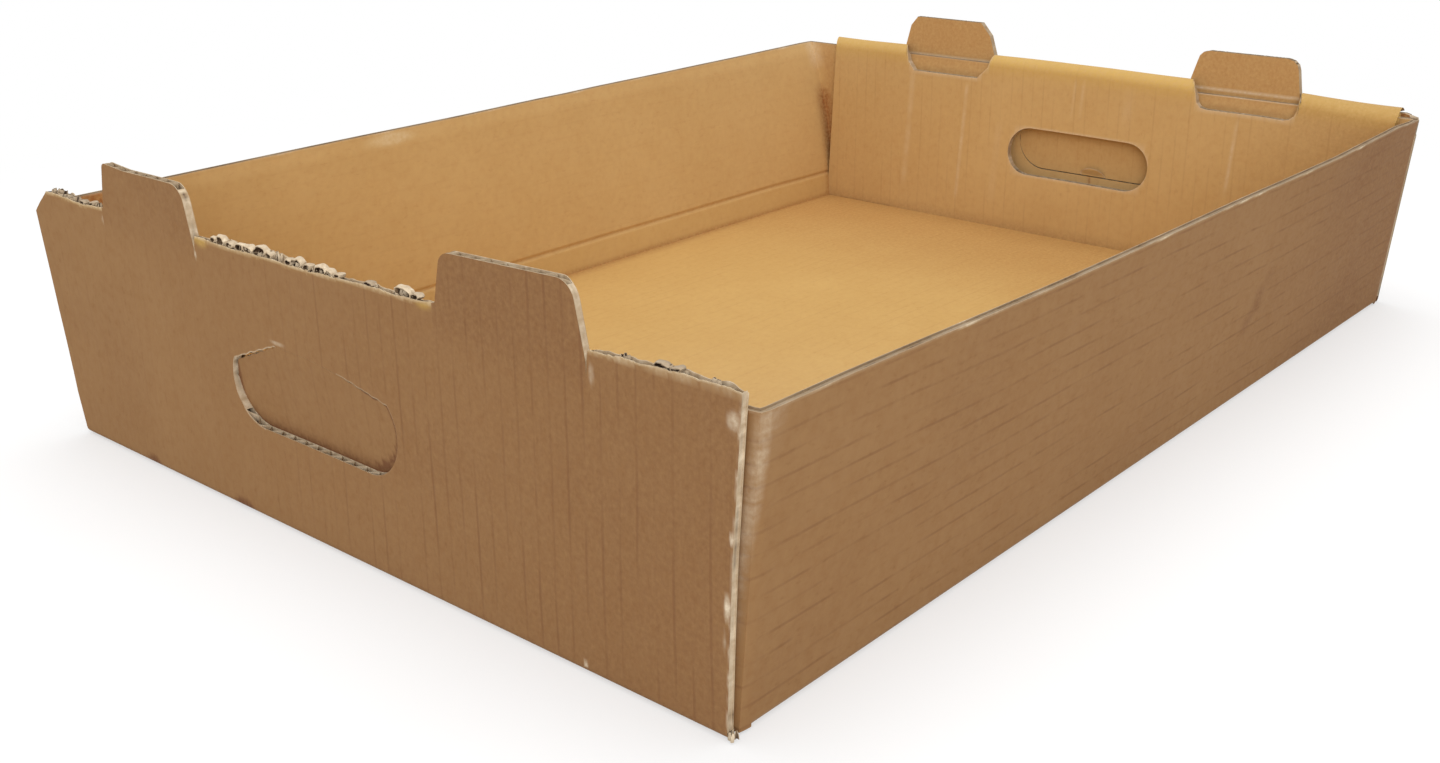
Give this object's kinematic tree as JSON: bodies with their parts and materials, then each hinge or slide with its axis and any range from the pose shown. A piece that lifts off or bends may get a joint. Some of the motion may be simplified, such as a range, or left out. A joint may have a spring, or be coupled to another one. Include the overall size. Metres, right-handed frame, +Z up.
{
  "type": "cardboard tray box",
  "caption": "Open corrugated cardboard tray folded from one sheet, with stacking tabs, hand holes and one end wall torn down to its outer ply.",
  "frame": {"origin": "centre of the floor's underside", "axes": "+X along the tray from the torn end to the whole end, +Y across it, +Z up"},
  "size_m": [0.6, 0.4164, 0.138],
  "materials": {
    "kraft_board": "plain brown kraft liners, matte, with fluted cut edges"
  },
  "bodies": {
    "tray": {"tray_sheet": "kraft_board"},
    "near_flap": {"near_hand_hole_flap": "kraft_board"},
    "far_flap": {"far_hand_hole_flap": "kraft_board"}
  },
  "joints": [
    {"name": "near_flap_hinge", "type": "hinge", "parent": "tray", "child": "near_flap", "pos_m": [-0.296, 0.011, 0.08], "axis": [0, -1, 0], "range_deg": [-8.3, 81.7]},
    {"name": "far_flap_hinge", "type": "hinge", "parent": "tray", "child": "far_flap", "pos_m": [0.296, -0.007, 0.0845], "axis": [0, 1, 0], "range_deg": [0, 8]}
  ]
}
